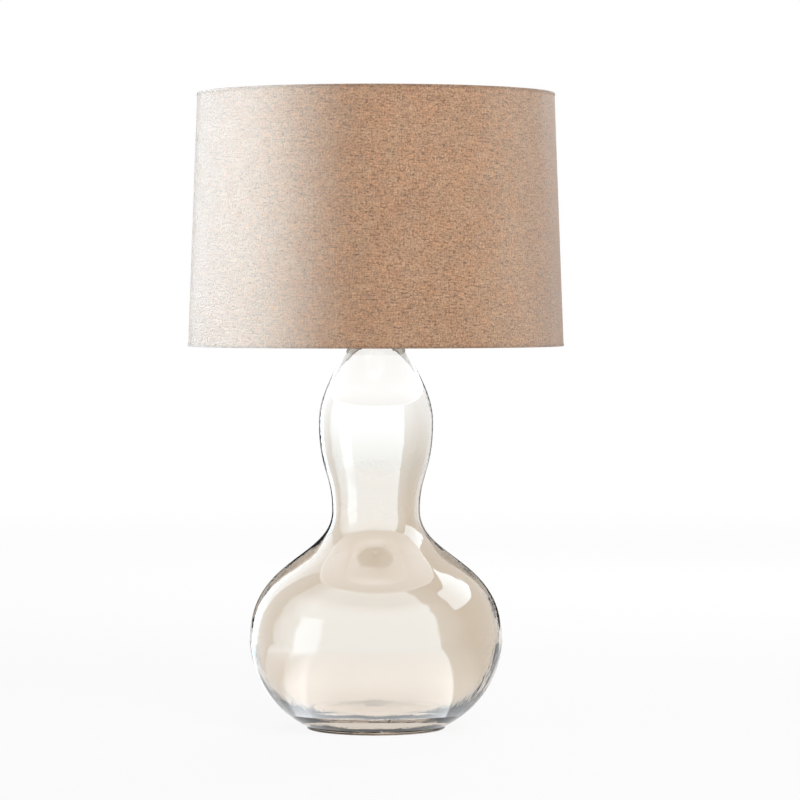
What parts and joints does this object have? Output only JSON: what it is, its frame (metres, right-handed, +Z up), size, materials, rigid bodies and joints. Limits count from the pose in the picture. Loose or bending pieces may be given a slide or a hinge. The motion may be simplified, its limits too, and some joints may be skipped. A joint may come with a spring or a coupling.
{
  "type": "table lamp",
  "caption": "Table lamp with a clear blown-glass gourd body, a turn-knob screw socket, a harp and a tapered linen drum shade.",
  "frame": {"origin": "centre of the foot ring, on the table top", "axes": "+Z up along the lamp's own axis; -Y is the front, where the switch knob points; +Y is the back, where the cord leaves; the harp's legs stand along X"},
  "size_m": [0.3819, 0.3818, 0.6473],
  "materials": {
    "gourd_glass": "clear blown glass with a faint champagne tint, polished",
    "setting_plaster": "setting plaster, matt",
    "brushed_nickel": "brushed nickel plate, satin",
    "polished_nickel": "polished nickel plate, bright",
    "zinc_steel": "zinc-plated steel",
    "gland_plastic": "black moulded nylon",
    "fibre_paper": "vulcanised fibre sleeve, matt",
    "phenolic": "dark phenolic moulding",
    "socket_aluminium": "rolled aluminium",
    "brass": "bare brass",
    "knob_plastic": "ribbed phenolic knob, semi-matt",
    "bulb_glass": "clear bulb glass",
    "bulb_aluminium": "rolled aluminium screw base",
    "insulator_glass": "black vitreous insulator, glossy",
    "solder": "solder contact",
    "lead_wire": "nickel lead wire",
    "filament": "tungsten coil",
    "linen": "natural oatmeal linen, plain slub weave",
    "linen_edge": "the same linen turned over the edge",
    "liner_styrene": "off-white styrene liner, satin",
    "ring_wire": "white powder-coated steel wire"
  },
  "bodies": {
    "base": {"glass_body": "gourd_glass", "cement_ring": "setting_plaster", "neck_cap": "brushed_nickel", "cord_gland": "gland_plastic", "cap_nut": "zinc_steel", "nipple": "zinc_steel", "check_ring": "brushed_nickel", "harp_saddle": "brushed_nickel", "saddle_nut": "zinc_steel", "socket_cap": "polished_nickel", "grub_screw": "zinc_steel", "socket_shell": "polished_nickel", "insulating_sleeve": "fibre_paper", "switch_block": "phenolic", "screw_shell": "socket_aluminium", "centre_contact": "brass", "hot_terminal_plate": "brass", "hot_terminal_screw": "brass", "neutral_terminal_plate": "zinc_steel", "neutral_terminal_screw": "zinc_steel"},
    "switch": {"switch_stem": "brass", "switch_knob": "knob_plastic"},
    "bulb": {"bulb_envelope": "bulb_glass", "bulb_base": "bulb_aluminium", "bulb_insulator": "insulator_glass", "bulb_contact": "solder", "bulb_stem": "bulb_glass", "bulb_leads": "lead_wire", "bulb_filament": "filament"},
    "harp": {"harp_loop": "brushed_nickel", "harp_stud": "brushed_nickel"},
    "right_ferrule": {"ferrule_right": "polished_nickel"},
    "left_ferrule": {"ferrule_left": "polished_nickel"},
    "shade": {"shade_cover": "linen", "shade_liner": "liner_styrene", "top_ring": "ring_wire", "bottom_ring": "ring_wire", "top_trim": "linen_edge", "bottom_trim": "linen_edge", "spider_arms": "ring_wire", "spider_hub": "ring_wire"},
    "finial": {"finial_base": "brushed_nickel", "finial_knob": "brushed_nickel"}
  },
  "joints": [
    {"name": "switch_turn", "type": "hinge", "parent": "base", "child": "switch", "pos_m": [0, -0.025, 0.4703], "axis": [0, -1, 0], "continuous": true},
    {"name": "bulb_unscrew", "type": "slide", "parent": "base", "child": "bulb", "axis": [0, 0, 1], "range_m": [0, 0.024]},
    {"name": "harp_lift", "type": "slide", "parent": "base", "child": "harp", "axis": [0, 0, 1], "range_m": [0, 0.02]},
    {"name": "right_ferrule_slide", "type": "slide", "parent": "harp", "child": "right_ferrule", "axis": [0, 0, 1], "range_m": [0, 0.0145]},
    {"name": "left_ferrule_slide", "type": "slide", "parent": "harp", "child": "left_ferrule", "axis": [0, 0, 1], "range_m": [0, 0.0145]},
    {"name": "shade_turn", "type": "hinge", "parent": "harp", "child": "shade", "pos_m": [0, 0, 0.6175], "axis": [0, 0, 1], "continuous": true},
    {"name": "finial_unscrew", "type": "slide", "parent": "harp", "child": "finial", "axis": [0, 0, 1], "range_m": [0, 0.015]}
  ]
}
